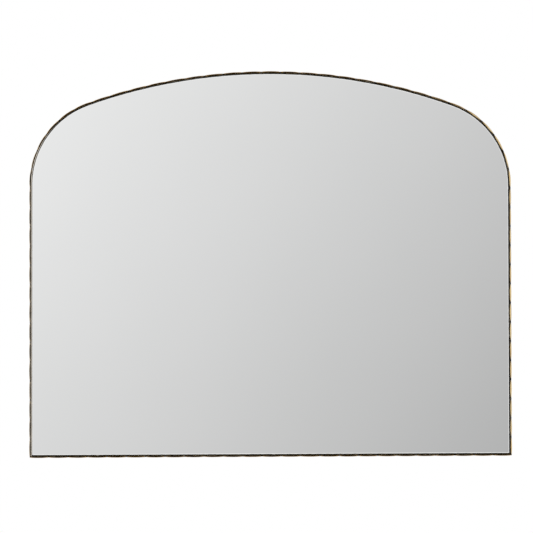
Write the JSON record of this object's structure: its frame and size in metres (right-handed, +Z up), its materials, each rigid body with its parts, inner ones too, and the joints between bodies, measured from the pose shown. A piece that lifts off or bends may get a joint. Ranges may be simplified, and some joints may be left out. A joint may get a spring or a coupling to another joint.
{
  "type": "arched wall mirror",
  "caption": "Wide arched wall mirror in a thin hammered antique-gold metal rim, on a backing board with hinged hanger rings and rubber wall bumpers.",
  "frame": {"origin": "on the wall, midway between the two wall hooks, at the height where the hanger rings bear on them", "axes": "+X across to the right as seen from the front, +Y from the front of the mirror into the wall, +Z up"},
  "size_m": [0.9998, 0.0265, 0.8],
  "materials": {
    "rim_metal": "antique gold rubbed over dark bronze, hammered",
    "mirror_pane": "silvered glass with a narrow bevel",
    "film": "grey woven film",
    "gasket_rubber": "matte black",
    "fibreboard": "raw fibreboard",
    "foam_tape": "white foam",
    "tab_steel": "dark bronze paint",
    "screw_steel": "bright zinc",
    "hanger_steel": "nickel plated",
    "bumper_rubber": "black rubber"
  },
  "bodies": {
    "mirror": {"rim_arch": "rim_metal", "rim_bottom": "rim_metal", "mirror_glass": "mirror_pane", "safety_film": "film", "edge_gasket": "gasket_rubber", "backing_board": "fibreboard", "mounting_tape_1": "foam_tape", "mounting_tape_2": "foam_tape", "mounting_tape_3": "foam_tape", "mounting_tape_4": "foam_tape", "mounting_tape_5": "foam_tape", "retaining_tab_1": "tab_steel", "retaining_tab_2": "tab_steel", "retaining_tab_3": "tab_steel", "retaining_tab_4": "tab_steel", "retaining_tab_5": "tab_steel", "retaining_tab_6": "tab_steel", "retaining_tab_7": "tab_steel", "retaining_tab_8": "tab_steel", "retaining_tab_9": "tab_steel", "retaining_tab_10": "tab_steel", "retaining_screws": "screw_steel", "hanger_strap_left": "hanger_steel", "hanger_strap_right": "hanger_steel", "hanger_screws": "screw_steel", "wall_bumper_1": "bumper_rubber", "wall_bumper_2": "bumper_rubber", "wall_bumper_3": "bumper_rubber", "wall_bumper_4": "bumper_rubber"},
    "ring_left": {"hanger_ring_left": "hanger_steel"},
    "ring_right": {"hanger_ring_right": "hanger_steel"}
  },
  "joints": [
    {"name": "ring_left_swing", "type": "hinge", "parent": "mirror", "child": "ring_left", "pos_m": [-0.33, -0.0067, -0.01949], "axis": [-1, 0, 0], "range_deg": [0, 176]},
    {"name": "ring_right_swing", "type": "hinge", "parent": "mirror", "child": "ring_right", "pos_m": [0.33, -0.0067, -0.01949], "axis": [-1, 0, 0], "range_deg": [0, 176]}
  ]
}
